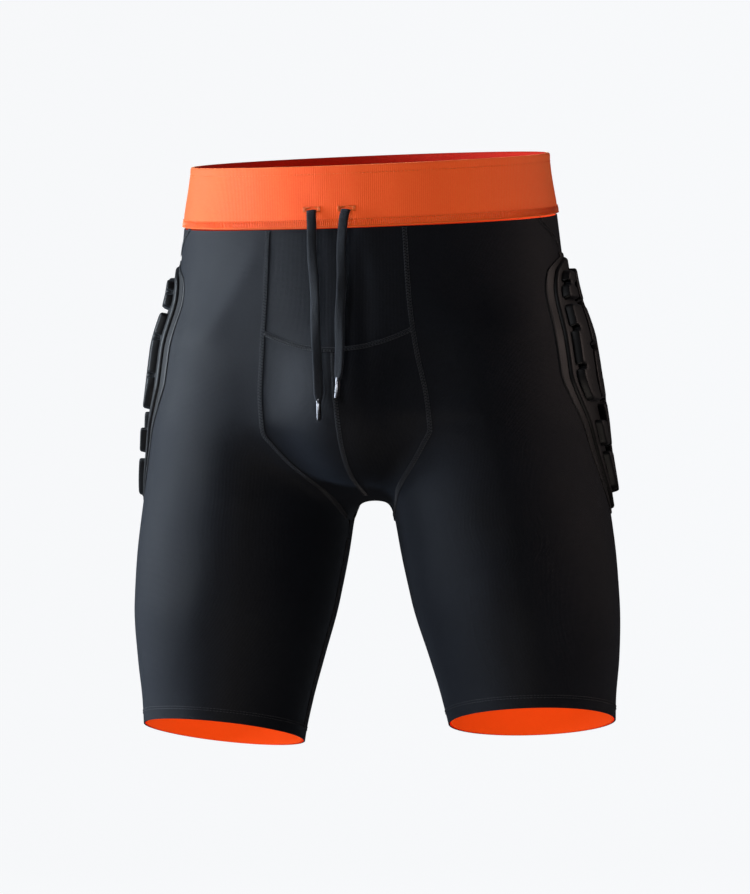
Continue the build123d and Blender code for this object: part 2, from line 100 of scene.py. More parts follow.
# ---------------------------------------------------------------- the body form
def smooth(at, stations, values):
    """A smooth curve through the stations that never overshoots a value."""
    x, y = np.asarray(stations, float), np.asarray(values, float)
    step = np.diff(x)
    slope = np.diff(y) / step
    tangent = np.concatenate([slope[:1], np.zeros(len(x) - 2), slope[-1:]])
    for i in range(1, len(x) - 1):
        if slope[i - 1] * slope[i] > 0:
            before, after = step[i - 1], step[i]
            weights = (before + 2 * after) / slope[i - 1] + (2 * before + after) / slope[i]
            tangent[i] = 3 * (before + after) / weights
    at = np.clip(np.asarray(at, float), x[0], x[-1])
    i = np.clip(np.searchsorted(x, at) - 1, 0, len(x) - 2)
    t = (at - x[i]) / step[i]
    rise = t * t * (3 - 2 * t)
    bend_in = t * (1 - t) ** 2 * step[i] * tangent[i]
    bend_out = t * t * (t - 1) * step[i] * tangent[i + 1]
    return y[i] * (1 - rise) + y[i + 1] * rise + bend_in + bend_out


def column(table, z, index):
    """One column of a body table at height z."""
    return smooth(-z, [-row[0] for row in table], [row[index] for row in table])


def form(point):
    """Roughly the distance outside the body: negative inside, zero on the fabric."""
    x, y, z = point[..., 0], point[..., 1], point[..., 2]
    width, depth, middle = (column(PELVIS, z, i) for i in (1, 2, 3))
    floor = np.clip((CROTCH + CAP - z) / CAP, 0, None)
    parts = [(np.sqrt((x / width) ** 2 + ((y - middle) / depth) ** 2 + floor**2) - 1) * depth]
    centre, width, depth, middle = (column(LEG, z, i) for i in (1, 2, 3, 4))
    top = np.clip((z - LEG_TOP) / CAP, 0, None)
    for side in (-1, 1):
        reach = ((side * x - centre) / width) ** 2 + ((y - middle) / depth) ** 2 + top**2
        parts.append((np.sqrt(reach) - 1) * width)
    offset = (point - np.array(POUCH_CENTRE)) / np.array(POUCH_SIZE)
    parts.append((np.sqrt((offset**2).sum(-1)) - 1) * POUCH_SIZE[0])
    parts = np.stack(parts)
    nearest = parts.min(0)
    return nearest - BLEND * np.log(np.exp(-(parts - nearest) / BLEND).sum(0))


def unit(vectors):
    """The same directions at a length of one."""
    return vectors / np.linalg.norm(vectors, axis=-1, keepdims=True)


def cast(origin, direction):
    """The first point where each ray from inside the body leaves it."""
    origin, direction = np.broadcast_arrays(np.asarray(origin, float), np.asarray(direction, float))
    direction = unit(direction)
    step = 8.0
    near = np.zeros(origin.shape[:-1])
    open_rays = np.ones(origin.shape[:-1], bool)
    for _ in range(35):
        open_rays &= form(origin + direction * (near + step)[..., None]) < 0
        near = np.where(open_rays, near + step, near)
    far = near + step
    for _ in range(18):
        middle = (near + far) / 2
        inside = form(origin + direction * middle[..., None]) < 0
        near, far = np.where(inside, middle, near), np.where(inside, far, middle)
    return origin + direction * near[..., None]


def normals(points):
    """Outward direction of the body form at each point."""
    slopes = [form(points + axis) - form(points - axis) for axis in np.eye(3)]
    return unit(np.stack(slopes, -1))


def waist_slope(level):
    """Fall from back to front of a level cut: all of the waist's tilt, fading to none."""
    share = smooth(-level, [-BAND_BOTTOM, -FAN_Z], [1, 0])
    return WAIST_FALL * share


def strip_point(x, station):
    """Point of the centre strip at a distance x from the middle plane."""
    x, station = np.broadcast_arrays(np.asarray(x, float), np.asarray(station, float))
    back = station > 1.5
    share = np.clip(np.where(back, 3 - station, station), 0, 1)
    level = BAND_BOTTOM + (FAN_Z - BAND_BOTTOM) * share
    slope = waist_slope(level)
    turn = np.radians(180 * np.clip(station - 1, 0, 1))
    forward = np.where(back, 1.0, -1.0)
    fan = (station > 1) & (station < 2)
    run = np.where(fan, -np.cos(turn), forward)
    fall = np.where(fan, -np.sin(turn), forward * slope)
    origin = np.stack([x, np.full_like(x, FAN_Y), level + slope * FAN_Y], -1)
    return cast(origin, np.stack([np.zeros_like(x), run, fall], -1))


def strip_edge(station, side):
    """Distance from the middle plane of one edge of the strip."""
    stations = [row[0] for row in STRIP]
    half = smooth(station, stations, [row[1] for row in STRIP])
    drift = smooth(station, stations, [row[2] for row in STRIP])
    return drift + side * half


def yoke_station(x):
    """Station of the curved seam between yoke and pouch, at a distance x across."""
    level = YOKE_DROP + YOKE_RISE * (np.abs(x - YOKE_MIDDLE) / YOKE_HALF) ** 2
    return (level - BAND_BOTTOM) / (FAN_Z - BAND_BOTTOM)


def thigh_dip(angle, end):
    """How far the rows of a leg sag between the front or back of the thigh and its side."""
    share = np.abs(angle / end)
    return DIP * share**2 * (1 - share)


def leg_row(station, columns, side):
    """One row of a leg panel, from the front seam round the outside to the back seam."""
    if station <= 1:
        level = BAND_BOTTOM + (FAN_Z - BAND_BOTTOM) * station
    else:
        level = FAN_Z + (INSEAM_TOP - FAN_Z) * (station - 1) * 2
    share = (level - BAND_BOTTOM) / (INSEAM_TOP - BAND_BOTTOM)
    centre_x = HIP_AXIS + (column(LEG, INSEAM_TOP, 1) - HIP_AXIS) * share
    centre = np.array([centre_x * side, FAN_Y, level])
    ends = [strip_point(strip_edge(s, side), s) for s in (station, 3 - station)]
    offsets = [end - centre for end in ends]
    angles = [np.arctan2(d[1], d[0] * side) for d in offsets]
    if station > 1.3:
        angles = [-abs(angles[0]), abs(angles[1])]
    slope = waist_slope(level)
    misfit = [d[2] / np.hypot(d[0], d[1]) - slope * np.sin(a) for d, a in zip(offsets, angles)]
    angle = np.linspace(angles[0], angles[1], columns)
    rise = slope * np.sin(angle)
    rise = rise + misfit[0] * np.clip(angle / angles[0], 0, 1) ** 2
    rise = rise + misfit[1] * np.clip(angle / angles[1], 0, 1) ** 2
    end = np.where(angle < 0, angles[0], angles[1])
    rise = rise - thigh_dip(angle, end) * smooth(station, [0.8, 1.5], [0, 1])
    return cast(centre, np.stack([side * np.cos(angle), np.sin(angle), rise], -1))


def hem_row(share, columns, side):
    """One row of a leg below the crotch, closed at the inside of the leg."""
    level = INSEAM_TOP + (HEM_LEVEL[side] - INSEAM_TOP) * share
    centre = np.array([column(LEG, level, 1) * side, column(LEG, level, 4), level])
    angle = np.linspace(-np.pi, np.pi, columns)
    turn = smooth(share, [0, 1], [0, 1])
    rise = -np.tan(np.radians(HEM_TILT)) * np.sin(angle) * turn
    rise = rise + np.tan(np.radians(HEM_SPLAY)) * np.cos(angle) * turn
    rise = rise - thigh_dip(angle, np.pi) * smooth(share, [0, 0.8], [1, 0])
    return cast(centre, np.stack([side * np.cos(angle), np.sin(angle), rise], -1))


def leg_line(share, columns, side):
    """One row of a leg at a share of the way from the waistband to the hem."""
    if share < THIGH_SHARE:
        station = smooth(share, [0, SEAT_SHARE, THIGH_SHARE], [0, 1, 1.5])
        return leg_row(float(station), columns, side)
    return hem_row((share - THIGH_SHARE) / (1 - THIGH_SHARE), columns, side)


def fixed(station):
    """A straight cut across the centre strip."""
    return lambda x: station + 0.0 * x


def strip_patch(upper, lower, left, right, rows, columns):
    """Grid of the centre strip between two edges, each a station that follows x."""
    share, along = np.meshgrid(np.linspace(left, right, columns), np.linspace(0, 1, rows))
    station = along * 0.0 + 1.0
    for _ in range(6):
        narrow, wide = strip_edge(station, -1), strip_edge(station, 1)
        x = narrow + (wide - narrow) * (share + 1) / 2
        station = upper(x) + (lower(x) - upper(x)) * along
    return strip_point(x, station)


def band_points(levels, columns):
    """Grid round the waistband, closed at the centre back."""
    angle = (np.linspace(-np.pi, np.pi, columns) - np.pi / 2)[None, :]
    level = np.asarray(levels, float)[:, None]
    parts = (np.cos(angle) + 0 * level, np.sin(angle) + 0 * level, WAIST_FALL * np.sin(angle) + 0 * level)
    origin = np.stack([0 * parts[0], 0 * parts[0], level + 0 * angle], -1)
    return cast(origin, np.stack(parts, -1))


# ---------------------------------------------------------------- folds of the cloth
# Each fold: points along it, its half width, and its height (negative for a hollow).
FOLDS = [
    ([(24, -108, -66), (24, -111, -118), (27, -116, -153), (28, -120, -200)], 6.5, -1.2),
    ([(15, -108, -70), (15, -111, -118), (17, -117, -150)], 7.0, 0.8),
    ([(36, -110, -214), (71, -100, -213), (112, -94, -211)], 6.0, -1.0),
    ([(40, -108, -204), (71, -101, -203), (112, -95, -200)], 8.0, 0.8),
    ([(48, -110, -167), (66, -105, -166), (92, -99, -163)], 9.0, -0.9),
    ([(13, -27, -267), (46, -73, -253), (72, -90, -237)], 6.0, 1.2),
    ([(10, -40, -262), (42, -86, -240), (62, -96, -222)], 6.0, -0.8),
    ([(-12, -30, -266), (-40, -75, -250), (-66, -92, -236)], 7.0, 0.5),
    ([(-34, -62, -276), (-72, -88, -272), (-118, -86, -262)], 9.0, 0.4),
    ([(40, -66, -284), (78, -88, -279), (120, -84, -266)], 9.0, 0.4),
    ([(-60, -104, -70), (-84, -96, -110), (-110, -88, -150)], 10.0, 0.9),
    ([(70, -100, -70), (96, -92, -108), (120, -82, -150)], 10.0, -0.8),
]


def fold(points, line, width, height):
    """Height of one soft fold that fades out at both its ends."""
    line = np.array(line, float)
    runs = np.linalg.norm(np.diff(line, axis=0), axis=1)
    before, total = np.concatenate([[0], np.cumsum(runs)]), runs.sum()
    best = np.full(points.shape[:-1], 1e9)
    place = np.zeros(points.shape[:-1])
    for i, run in enumerate(runs):
        along = (line[i + 1] - line[i]) / run
        reach = np.clip(((points - line[i]) * along).sum(-1), 0, run)
        gap = np.linalg.norm(points - line[i] - reach[..., None] * along, axis=-1)
        place = np.where(gap < best, (before[i] + reach) / total, place)
        best = np.minimum(best, gap)
    fade = np.sin(np.pi * np.clip(place, 0, 1)) ** 0.6
    return height * fade * np.exp(-((best / width) ** 2))


def relief(points):
    """How far the cloth stands off the body form, in folds and gentle unevenness."""
    total = np.zeros(points.shape[:-1])
    for line, width, height in FOLDS:
        total = total + fold(points, line, width, height)
    x, y, z = points[..., 0], points[..., 1], points[..., 2]
    waves = np.sin(x / 13 + 1.3 * np.sin(z / 41)) * np.sin(z / 23 + 0.8 * np.sin(x / 31) + y / 47)
    fade = 1 / (1 + np.exp((z + 60) / 6))
    return total + 0.22 * waves * fade


def settled(points, lift=0.0):
    """Points on the cloth, at a distance outside its outer face."""
    return points + normals(points) * (relief(points) + lift)[..., None]


# ---------------------------------------------------------------- mesh making
def make(name, vertices, faces, materials, uvs=None, slots=None, crease=None):
    """A smooth-shaded mesh object from points in millimetres."""
    mesh = bpy.data.meshes.new(name)
    mesh.from_pydata((np.asarray(vertices) * MM).tolist(), [], np.asarray(faces).tolist())
    for material in materials:
        mesh.materials.append(material)
    if slots is not None:
        mesh.polygons.foreach_set("material_index", np.asarray(slots, np.int32))
    mesh.polygons.foreach_set("use_smooth", np.ones(len(mesh.polygons), bool))
    if uvs is not None:
        corners = np.empty(len(mesh.loops), np.int32)
        mesh.loops.foreach_get("vertex_index", corners)
        layer = mesh.uv_layers.new(name="cloth")
        layer.data.foreach_set("uv", uvs[corners].astype(np.float32).ravel())
    if crease is not None:
        mesh.set_sharp_from_angle(angle=math.radians(crease))
    mesh.update()
    obj = bpy.data.objects.new(name, mesh)
    bpy.context.scene.collection.objects.link(obj)
    return obj


def refine(grid, rows, columns):
    """The same surface on a finer grid, drawn smoothly through the given points."""
    for axis, count in ((0, rows), (1, columns)):
        line = np.moveaxis(grid, axis, 0)
        line = np.concatenate([[2 * line[0] - line[1]], line, [2 * line[-1] - line[-2]]])
        at = np.linspace(0, len(line) - 3, count)
        i = np.clip(at.astype(int), 0, len(line) - 4)
        t = (at - i)[:, None, None]
        a, b, c, d = line[i], line[i + 1], line[i + 2], line[i + 3]
        curve = 2 * b + (c - a) * t + (2 * a - 5 * b + 4 * c - d) * t**2
        grid = np.moveaxis((curve + (3 * b - a - 3 * c + d) * t**3) / 2, 0, axis)
    return grid


def lay_flat(grid):
    """Flat position of each grid point, in metres along and down the cloth."""
    sideways = np.linalg.norm(np.diff(grid, axis=1), axis=-1)
    down = np.linalg.norm(np.diff(grid, axis=0), axis=-1)
    u = np.concatenate([np.zeros((len(grid), 1)), np.cumsum(sideways, 1)], 1)
    v = np.concatenate([np.zeros((1, grid.shape[1])), np.cumsum(down, 0)], 0)
    middle = grid.shape[1] // 2
    return np.stack([u - u[:, middle:middle + 1], v], -1) * MM


def quads(rows, columns):
    """Faces of a grid of points."""
    corner = (np.arange(rows - 1)[:, None] * columns + np.arange(columns - 1)).ravel()
    return np.stack([corner, corner + columns, corner + columns + 1, corner + 1], -1)


def rim_of(rows, columns):
    """Points round the edge of a grid, in order."""
    index = np.arange(rows * columns).reshape(rows, columns)
    sides = [index[0, :-1], index[:-1, -1], index[-1, :0:-1], index[:0:-1, 0]]
    return np.concatenate(sides)


def two_layer(name, outer, inner, materials, crease=50):
    """A closed piece of cloth between two grids. The first material is outside."""
    rows, columns = outer.shape[:2]
    count = rows * columns
    face = quads(rows, columns)
    rim = rim_of(rows, columns)
    after = np.roll(rim, -1)
    side = np.stack([rim, after, after + count, rim + count], -1)
    r, c = rows // 2, columns // 2
    normal = np.cross(outer[r, c] - outer[r - 1, c], outer[r, c] - outer[r, c - 1])
    turned = np.dot(normal, outer[r, c] - inner[r, c]) > 0
    back = face[:, ::-1] + count
    faces = np.concatenate([face, back, side])
    if not turned:
        faces = faces[:, ::-1]
    slots = np.zeros(len(faces), np.int32)
    slots[len(face):2 * len(face)] = len(materials) - 1
    flat = lay_flat(outer).reshape(-1, 2)
    points = np.concatenate([outer.reshape(-1, 3), inner.reshape(-1, 3)])
    return make(name, points, faces, materials, np.concatenate([flat, flat]), slots, crease)


def one_layer(name, grid, materials, crease=None):
    """An open surface over a grid."""
    rows, columns = grid.shape[:2]
    flat = lay_flat(grid).reshape(-1, 2)
    return make(name, grid.reshape(-1, 3), quads(rows, columns), materials, flat, None, crease)


def evenly(line, pitch):
    """Points at even steps along a line."""
    step = np.linalg.norm(np.diff(line, axis=0), axis=1)
    place = np.concatenate([[0], np.cumsum(step)])
    at = np.linspace(0, place[-1], max(int(place[-1] / pitch), 1) + 1)
    return np.stack([np.interp(at, place, line[:, k]) for k in range(3)], -1)


def across(line):
    """Unit direction in the cloth, square to a line on it."""
    return unit(np.cross(normals(line), np.gradient(line, axis=0)))


def threads(starts, ends, ups, width, height):
    """Points and faces of short stitches, each an arch between two points."""
    t = np.array([0.0, 0.12, 0.35, 0.65, 0.88, 1.0])
    girth = np.array([0.25, 0.8, 1.0, 1.0, 0.8, 0.25]) * width / 2
    turn = np.arange(6) / 6 * 2 * np.pi
    along = ends - starts
    side = unit(np.cross(ups, along))
    middle = starts[:, None] + along[:, None] * t[None, :, None]
    middle = middle + ups[:, None] * (height * 4 * t * (1 - t))[None, :, None]
    ring = side[:, None, None] * np.cos(turn)[None, None, :, None]
    ring = ring + ups[:, None, None] * np.sin(turn)[None, None, :, None]
    points = middle[:, :, None] + ring * girth[None, :, None, None]
    count = len(starts)
    index = np.arange(count * 36).reshape(count, 6, 6)
    a, b = index[:, :-1, :], index[:, 1:, :]
    faces = np.stack([a, np.roll(a, -1, 2), np.roll(b, -1, 2), b], -1).reshape(-1, 4)
    return points.reshape(-1, 3), faces


def joined(parts):
    """Several sets of points and faces as one."""
    points, faces, start = [], [], 0
    for part_points, part_faces in parts:
        points.append(part_points)
        faces.append(part_faces + start)
        start += len(part_points)
    return np.concatenate(points), np.concatenate(faces)


def ribbon(line, width, top, sink=0.35):
    """Points and faces of a low, rounded band laid along a line on the cloth."""
    share = np.linspace(-1, 1, 9)
    rise = -sink + (top + sink) * (1 - share**4) ** 0.7
    side, up = across(line), normals(line)
    base = line + up * relief(line)[:, None]
    upper = base[:, None] + side[:, None] * (share * width / 2)[None, :, None]
    upper = upper + up[:, None] * rise[None, :, None]
    rows, columns = upper.shape[:2]
    return upper.reshape(-1, 3), quads(rows, columns)


def stitch_row(line, pitch, length, width, offset=0.0, lift=0.3, height=0.25):
    """A row of needle stitches beside a line, dipping into the cloth between them."""
    points = evenly(line, pitch)
    side, up = across(points), normals(points)
    along = unit(np.gradient(points, axis=0))
    base = points + side * offset + up * (relief(points) + lift)[:, None]
    return threads(base - along * length / 2, base + along * length / 2, up, width, height)


def crossing(line, pitch, reach, width, lift, height=0.2, lean=0.6):
    """Cover threads that cross a seam from side to side, leaning along it."""
    points = evenly(line, pitch)
    side, up = across(points), normals(points)
    along = np.gradient(points, axis=0)
    base = points + up * (relief(points) + lift)[:, None]
    turn = np.where(np.arange(len(points)) % 2 == 0, lean, -lean)[:, None]
    start = base - side * reach - along * turn / 2
    return threads(start, base + side * reach + along * turn / 2, up, width, height)


def flatlock(name, line, materials, width=SEAM_WIDTH):
    """A flat seam: a low covered ridge, its two needle rows and its cover threads."""
    fine = evenly(line, 1.5)
    base, base_faces = ribbon(fine, width, 0.45)
    rows = [stitch_row(line, pitch=2.3, length=1.9, width=0.5, offset=offset, lift=0.42)
            for offset in (-1.55, 1.55)]
    rows.append(crossing(line, pitch=1.15, reach=1.5, width=0.42, lift=0.42))
    points, faces = joined([(base, base_faces)] + rows)
    slots = np.ones(len(faces), np.int32)
    slots[:len(base_faces)] = 0
    flat = np.zeros((len(points), 2))
    flat[:len(base)] = lay_flat(base.reshape(len(fine), 9, 3)).reshape(-1, 2)
    return make(name, points, faces, materials, flat, slots)


# ---------------------------------------------------------------- materials
def maths(tree, operation, first, second=None):
    """One arithmetic node on numbers or sockets."""
    node = tree.nodes.new("ShaderNodeMath")
    node.operation = operation
    for socket, value in zip(node.inputs, (first, second)):
        if value is None:
            continue
        if isinstance(value, (int, float)):
            socket.default_value = value
        else:
            tree.links.new(value, socket)
    return node.outputs[0]


def weighted(tree, first, first_weight, second, second_weight=1.0):
    """Sum of two sockets, each times its weight."""
    parts = [maths(tree, "MULTIPLY", first, first_weight), maths(tree, "MULTIPLY", second, second_weight)]
    return maths(tree, "ADD", *parts)


def noise(tree, scale, detail=2.0):
    """Uneven tone fixed to the object, with a feature size of about one over scale."""
    place = tree.nodes.new("ShaderNodeTexCoord")
    node = tree.nodes.new("ShaderNodeTexNoise")
    node.inputs["Scale"].default_value = scale
    node.inputs["Detail"].default_value = detail
    tree.links.new(place.outputs["Object"], node.inputs["Vector"])
    return node.outputs["Fac"]


def blank(name, roughness, sheen=0.0, tint=(1, 1, 1), specular=0.4, metallic=0.0):
    """A new material with its constants on the shader's own sockets."""
    made = bpy.data.materials.new(name)
    made.use_nodes = True
    tree = made.node_tree
    shader = tree.nodes["Principled BSDF"]
    shader.inputs["Roughness"].default_value = roughness
    shader.inputs["Specular IOR Level"].default_value = specular
    shader.inputs["Metallic"].default_value = metallic
    shader.inputs["Sheen Weight"].default_value = sheen
    shader.inputs["Sheen Roughness"].default_value = 0.45
    shader.inputs["Sheen Tint"].default_value = (*tint, 1)
    return made, tree, shader


def colour_between(tree, shader, dark, light, factor):
    """Base colour that runs from dark to light with a factor."""
    mix = tree.nodes.new("ShaderNodeMix")
    mix.data_type = "RGBA"
    mix.inputs["A"].default_value = (*dark, 1)
    mix.inputs["B"].default_value = (*light, 1)
    tree.links.new(factor, mix.inputs["Factor"])
    tree.links.new(mix.outputs["Result"], shader.inputs["Base Color"])


def uneven_gloss(tree, shader, tone, spread, least):
    """Roughness that rises with a tone, from its least value."""
    rough = maths(tree, "ADD", maths(tree, "MULTIPLY", tone, spread), least)
    tree.links.new(rough, shader.inputs["Roughness"])


def raised(tree, shader, height, depth):
    """Bump from a height socket, its depth in millimetres."""
    bump = tree.nodes.new("ShaderNodeBump")
    bump.inputs["Strength"].default_value = 1.0
    bump.inputs["Distance"].default_value = depth * MM
    tree.links.new(height, bump.inputs["Height"])
    tree.links.new(bump.outputs["Normal"], shader.inputs["Normal"])


def weave_height(tree, weave, pitch):
    """Height of a weave from 0 to 1, by the cloth's own flat position."""
    uv = tree.nodes.new("ShaderNodeUVMap")
    uv.uv_map = "cloth"
    split = tree.nodes.new("ShaderNodeSeparateXYZ")
    tree.links.new(uv.outputs["UV"], split.inputs[0])
    u = maths(tree, "MULTIPLY", split.outputs["X"], math.pi / (pitch[0] * MM))
    v = maths(tree, "MULTIPLY", split.outputs["Y"], 2 * math.pi / (pitch[1] * MM))
    column_height = maths(tree, "ABSOLUTE", maths(tree, "SINE", u))
    if weave == "rib":
        return weighted(tree, column_height, 0.85, maths(tree, "SINE", v), 0.12)
    if weave == "knit":
        slant = weighted(tree, column_height, 2.6, v)
    else:
        slant = weighted(tree, u, 2.0, v)
    return weighted(tree, column_height, 0.6, maths(tree, "SINE", slant), 0.25)


def textile(name, dark, light, weave, pitch, depth, roughness, sheen, tint, painted_glow=0.0):
    """A fabric with its weave in bump and colour; a slight glow adds painted light to it."""
    made, tree, shader = blank(name, roughness, sheen, tint, specular=0.12)
    shader.inputs["Emission Color"].default_value = (*light, 1)
    # Painted light: emission that brightens the cloth as if lamps lit it more.
    shader.inputs["Emission Strength"].default_value = painted_glow
    height = weave_height(tree, weave, pitch)
    fine = noise(tree, 900.0, 3.0)
    broad = noise(tree, 22.0, 2.0)
    tone = weighted(tree, broad, 0.45, weighted(tree, fine, 0.9, height, 0.35))
    tone = maths(tree, "SUBTRACT", tone, 0.4)
    colour_between(tree, shader, dark, light, tone)
    uneven_gloss(tree, shader, broad, 0.16, roughness - 0.08)
    raised(tree, shader, weighted(tree, fine, 0.5, height), depth)
    return made


def thread(name, dark, light, roughness, sheen=0.2):
    """Sewing thread, its twist as fine bump."""
    made, tree, shader = blank(name, roughness, sheen, light, specular=0.35)
    fine = noise(tree, 2600.0, 2.0)
    colour_between(tree, shader, dark, light, fine)
    raised(tree, shader, fine, 0.08)
    return made


def moulded(name, dark, light, roughness, grain, depth, sheen=0.05):
    """Fabric-faced foam: a smooth skin with a fine grain."""
    made, tree, shader = blank(name, roughness, sheen, (0.75, 0.8, 0.9), specular=0.2)
    fine, broad = noise(tree, grain, 3.0), noise(tree, 35.0, 2.0)
    colour_between(tree, shader, dark, light, weighted(tree, fine, 0.5, broad, 0.5))
    uneven_gloss(tree, shader, broad, 0.2, roughness - 0.1)
    raised(tree, shader, fine, depth)
    return made


def metal(name):
    """Dark plated tip, faintly brushed and dulled."""
    made, tree, shader = blank(name, 0.3, metallic=1.0, specular=0.5)
    fine, broad = noise(tree, 1400.0, 2.0), noise(tree, 160.0, 2.0)
    colour_between(tree, shader, (0.05, 0.05, 0.055), (0.16, 0.16, 0.17), broad)
    uneven_gloss(tree, shader, fine, 0.25, 0.16)
    raised(tree, shader, fine, 0.02)
    return made


COOL = (0.55, 0.68, 0.9)
KNIT = textile("black_knit", (0.0012, 0.0015, 0.0026), (0.0085, 0.0100, 0.0155), "knit",
               (1.1, 0.9), 0.15, 0.58, 0.075, COOL)
# Orange webbing: its own orange, plus a glow that is painted light brightening the band.
ORANGE = textile("orange_webbing", (0.80, 0.055, 0.008), (1.0, 0.13, 0.025), "rib",
                 (1.5, 1.0), 0.2, 0.62, 0.7, (1.0, 0.80, 0.38), 0.26)
# Band lining: a deep red-orange, darkened below the webbing's own colour as painted shade for the inside of
# the band.
SHADED_BACKING = textile("band_backing_painted_shade", (0.42, 0.008, 0.001), (0.74, 0.018, 0.002), "knit",
                  (1.1, 0.9), 0.16, 0.75, 0.1, (1.0, 0.4, 0.2))
# Leg lining: its own orange, plus a glow that is painted light inside the legs.
BRUSHED = textile("leg_backing", (0.85, 0.042, 0.002), (1.0, 0.09, 0.006), "knit",
                  (1.1, 0.9), 0.16, 0.75, 0.15, (1.0, 0.5, 0.25), 0.08)
# Hem facing: its own orange, plus a strong glow that is painted light inside the hems.
TAPE = textile("hem_tape", (0.85, 0.045, 0.002), (1.0, 0.10, 0.008), "plain",
               (0.9, 0.9), 0.16, 0.75, 0.15, (1.0, 0.5, 0.25), 0.42)
ELASTIC = textile("elastic_core", (0.3, 0.28, 0.26), (0.5, 0.48, 0.45), "rib",
                  (2.2, 1.2), 0.3, 0.7, 0.1, (1, 1, 1))
LACE = textile("black_cord", (0.004, 0.004, 0.005), (0.016, 0.017, 0.020), "braid",
               (0.9, 1.1), 0.22, 0.6, 0.3, COOL)
FILM = moulded("pad_film", (0.0022, 0.0022, 0.0026), (0.0065, 0.0066, 0.0078), 0.5, 1800.0, 0.04)
FOAM = moulded("pad_foam", (0.0026, 0.0026, 0.0030), (0.0078, 0.0078, 0.0090), 0.5, 1500.0, 0.05)
BLACK_THREAD = thread("black_thread", (0.012, 0.013, 0.016), (0.050, 0.054, 0.064), 0.5)
ORANGE_THREAD = thread("orange_thread", (0.85, 0.10, 0.01), (1.0, 0.22, 0.03), 0.45)
METAL = metal("aglet_metal")
SATIN = textile("label_satin", (0.55, 0.55, 0.53), (0.75, 0.75, 0.72), "plain",
                (0.4, 0.4), 0.05, 0.35, 0.1, (1, 1, 1))


# ---------------------------------------------------------------- camera and light
def aimed(obj, target, roll=0.0):
    """Turn a lamp or camera towards a target."""
    direction = Vector(target) - obj.location
    turn = direction.to_track_quat("-Z", "Y").to_matrix().to_4x4()
    obj.matrix_world = Matrix.Translation(obj.location) @ turn @ Matrix.Rotation(roll, 4, "Z")


def camera():
    """View from the front, a little to the wearer's left and low."""
    data = bpy.data.cameras.new("camera")
    data.lens, data.sensor_width = 163.9, 36.0
    data.shift_x, data.shift_y = 0.0034, -0.0022
    obj = bpy.data.objects.new("camera", data)
    bpy.context.scene.collection.objects.link(obj)
    azimuth, elevation, roll = (math.radians(degrees) for degrees in (15.0, -2.0, -0.5))
    distance, target = 3.2, Vector((0, 0, -0.225))
    level = math.cos(elevation)
    way = Vector((math.sin(azimuth) * level, -math.cos(azimuth) * level, math.sin(elevation)))
    obj.location = target + way * distance
    aimed(obj, target, roll)
    bpy.context.scene.camera = obj


def lamp(name, place, target, size, power, colour):
    """A soft rectangular lamp, in metres and watts, that the camera doesn't see."""
    data = bpy.data.lights.new(name, "AREA")
    data.shape, data.size, data.size_y = "RECTANGLE", size[0], size[1]
    data.energy, data.color = power, colour
    obj = bpy.data.objects.new(name, data)
    bpy.context.scene.collection.objects.link(obj)
    obj.location = place
    aimed(obj, target)
    obj.visible_camera = False


PALE = (0.93, 0.94, 0.955)


def pale(name, strength):
    """An even pale surface for the floor and the backdrop."""
    made = bpy.data.materials.new(name)
    made.use_nodes = True
    shader = made.node_tree.nodes["Principled BSDF"]
    shader.inputs["Base Color"].default_value = (0.12, 0.12, 0.12, 1)
    shader.inputs["Roughness"].default_value = 0.9
    shader.inputs["Emission Color"].default_value = (*PALE, 1)
    shader.inputs["Emission Strength"].default_value = strength
    return made


def studio():
    """Cool light from the left, weak light in front and below, a warm rim, a pale floor."""
    lamp("key", (-2.7, -0.1, 0.5), (-0.05, 0, -0.2), (0.8, 1.7), 138, (0.80, 0.90, 1.0))
    lamp("side", (-2.2, -0.85, -0.2), (0.05, 0, -0.3), (0.3, 1.2), 40, (0.76, 0.87, 1.0))
    lamp("rim", (2.3, 0.9, 0.5), (0.1, 0, -0.15), (0.4, 1.2), 18, (1.0, 0.80, 0.74))
    lamp("front", (-0.9, -2.5, 0.9), (0, 0, -0.1), (0.8, 0.5), 22, (0.93, 0.96, 1.0))
    lamp("low", (0.2, -0.9, -1.6), (0, 0.03, -0.42), (0.9, 0.3), 9, (1.0, 0.9, 0.8))
    world = bpy.data.worlds.new("studio")
    world.use_nodes = True
    air = world.node_tree.nodes["Background"]
    air.inputs["Color"].default_value = (*PALE, 1)
    air.inputs["Strength"].default_value = 0.03
    bpy.context.scene.world = world
    turn = np.linspace(0, 2 * np.pi, 97)
    profile = [(0.02, -900), (1500, -900), (5200, -900), (5900, -700), (6200, 0), (6200, 6000)]
    grid = np.array([np.stack([np.cos(turn) * r, np.sin(turn) * r, 0 * turn + z], -1) for r, z in profile])
    floor = one_layer("studio_floor", grid, [pale("studio_pale", 0.98)])
    floor.visible_diffuse = floor.visible_glossy = floor.visible_shadow = False
    bpy.context.scene.view_settings.view_transform = "Standard"


# ---------------------------------------------------------------- attaching the pieces
def stands_for(obj, material_slot, *nodes, body="root"):
    """The piece rides a body, in the place of its CAD nodes."""
    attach(obj, body)
    if nodes:
        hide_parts(*nodes)
    return obj


# ---------------------------------------------------------------- drawcord
CORD_LEVEL = -34.5
CORD_X = (-17.0, 10.5)
RIGHT_TAIL = [(0, -2.7, 0), (0.6, -5.8, -3.4), (1.4, -6.9, -12), (1.6, -8.8, -32),
              (5.2, -12.4, -60), (6.4, -17.2, -92), (9.6, -21.6, -124), (10.2, -22.8, -146)]
LEFT_TAIL = [(0, -2.7, 0), (-0.6, -5.8, -3.4), (-1.6, -6.9, -12), (-2.6, -8.6, -30),
             (-1.0, -12.2, -56), (-2.4, -16.4, -84), (-0.8, -20.4, -110), (-1.9, -22.8, -130)]


def exit_point(x):
    """Where a tail leaves the band, on its outer face."""
    return cast([x, 0, CORD_LEVEL], [0, -1, -WAIST_FALL])


